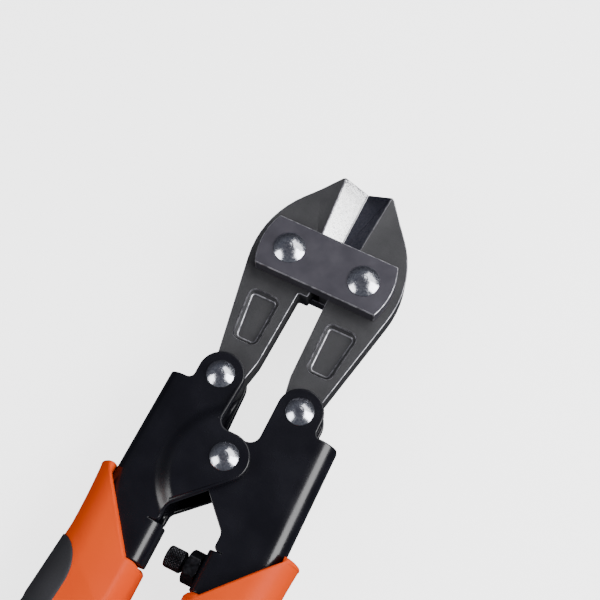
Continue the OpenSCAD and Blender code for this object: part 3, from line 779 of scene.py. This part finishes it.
def makeNut():
    # hexagon whose radius at angle t is the flat's distance over cos t, cut by a cone at each end
    lo, hi, mid = boxMm("lock_nut")
    corner = (hi[2] - lo[2]) / 2
    flat = corner * np.cos(pi / 6)
    t = np.linspace(0, 2 * pi, 120, endpoint=False)[None, :]
    hexR = flat / np.cos((t + pi / 2 + pi / 6) % (pi / 3) - pi / 6)
    hexR = np.minimum(hexR, corner - nut["cornerCut"])
    thick = hi[0] - lo[0]
    h = np.r_[0, 0.02, 0.12, 0.25, 0.4, 0.6, 0.9, thick - 0.9, thick - 0.6, thick - 0.4,
              thick - 0.25, thick - 0.12, thick - 0.02, thick][:, None]
    cone = flat * nut["coneShare"] + np.minimum(h, thick - h) / np.tan(radians(30))
    mouth = nut["mouth"]
    inner = np.array([[nut["bore"]], [nut["bore"] + mouth]]) + 0 * t
    allR = np.vstack([inner, np.minimum(hexR, cone), inner[::-1], inner[:1]])
    allH = np.vstack([[[mouth]], [[0]], h, [[thick]], [[thick - mouth]], [[mouth]]]) + 0 * t
    points = np.stack([lo[0] + allH, mid[1] + allR * np.cos(t), midZ + allR * np.sin(t)], -1)
    piece = makePiece("lockNut", points.reshape(-1, 3),
                      gridFaces(allR.shape[0], t.shape[1], closeCols=True), oxide, 28)
    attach(piece, "stop_nut")
    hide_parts("lock_nut")


def makeCollar(name, node, body, mat, axis, bore):
    # turned ring with broken edges: a closed profile carried once round its axis
    lo, hi, mid = boxMm(node)
    length = (hi - lo)[axis]
    radius = (hi - lo)[1 if axis == 0 else 0] / 2
    c = collars["edge"]
    profile = [(bore, -length / 2 + c / 2), (bore + c / 2, -length / 2), (radius - c, -length / 2),
               (radius, -length / 2 + c), (radius, length / 2 - c), (radius - c, length / 2),
               (bore + c / 2, length / 2), (bore, length / 2 - c / 2), (bore, -length / 2 + c / 2)]
    points, faces = lathe(profile, collars["steps"], (0, 0, 0))
    points = alongX(points, mid) if axis == 0 else points + mid
    piece = makePiece(name, points, faces, mat, 30)
    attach(piece, body)
    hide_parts(node)


makeScrew()
makeNut()
makeCollar("threadedBush", "threaded_bush", "handle_right", oxide, 0, collars["screwBore"])
makeCollar("centreSpacer", "centre_spacer", "handle_right", turned, 2, collars["rivetBore"])
print("stop screw, nut, bush and spacer")


# in metres and degrees; each box has its place, its width and height, and its power in watts
studio = dict(floor=1.6, floorDrop=0.0004, floorGlow=2.6, airGlow=0.5, aim=(0, 0.03, 0),
              spot=(0.0483, -0.0269, 0.2924), turn=(21.13, 0.65, 26.39), lens=71.9,
              boxes=dict(keyBox=((0.5, 0.12, 0.36), (0.42, 0.42), 5.6),
                         nearBox=((-0.42, -0.36, 0.34), (0.42, 0.32), 2.4),
                         backBox=((0.25, 0.62, 0.62), (0.8, 0.55), 4.2)))

bpy.ops.mesh.primitive_plane_add(size=studio["floor"], location=(0, 0, -studio["floorDrop"]))
floor = bpy.context.object
floor.name = "floor"
floorMat, tree, shader, place = newMaterial("paleFloor")
paper = addNode(tree, "ShaderNodeTexNoise", [("Vector", place)], Scale=6.0, Detail=2.0)
tree.links.new(ramp(tree, paper.outputs[0], [(0.3, "#f6f6f6"), (0.7, "#fafafa")]),
               shader.inputs["Base Color"])
shader.inputs["Roughness"].default_value = 0.9
shader.inputs["Emission Color"].default_value = (1, 1, 1, 1)
shader.inputs["Emission Strength"].default_value = studio["floorGlow"]
floor.data.materials.append(floorMat)
floor.visible_diffuse = False  # lights nothing and isn't mirrored, like a backdrop far below
floor.visible_glossy = False


def softbox(name, spot, size, power):
    light = bpy.data.lights.new(name, "AREA")
    light.shape = "RECTANGLE"
    light.size, light.size_y = size
    light.energy = power
    lamp = bpy.data.objects.new(name, light)
    bpy.context.scene.collection.objects.link(lamp)
    lamp.location = spot
    direction = np.array(studio["aim"], float) - np.array(spot, float)
    lamp.rotation_euler = Vector(direction).to_track_quat("-Z", "Y").to_euler()


for name, (spot, size, power) in studio["boxes"].items():
    softbox(name, spot, size, power)

# dim grey air all round, palest half way up, so that the boxes draw the highlights
world = bpy.data.worlds.new("studioAir")
bpy.context.scene.world = world
world.use_nodes = True
air = world.node_tree
skyward = addNode(air, "ShaderNodeSeparateXYZ",
                  [("Vector", addNode(air, "ShaderNodeTexCoord").outputs["Generated"])])
shade = ramp(air, skyward.outputs["Z"], [(0.0, "#56575e"), (0.5, "#8b8e98"), (0.95, "#7c7c86")])
air.links.new(shade, air.nodes["Background"].inputs["Color"])
air.nodes["Background"].inputs["Strength"].default_value = studio["airGlow"]

cameraData = bpy.data.cameras.new("camera")
cameraData.lens = studio["lens"]
cameraData.sensor_width = 36
cameraData.clip_start = 0.01
camera = bpy.data.objects.new("camera", cameraData)
camera.location = studio["spot"]
camera.rotation_euler = [radians(a) for a in studio["turn"]]
bpy.context.scene.collection.objects.link(camera)
bpy.context.scene.camera = camera
print("floor, light and camera")
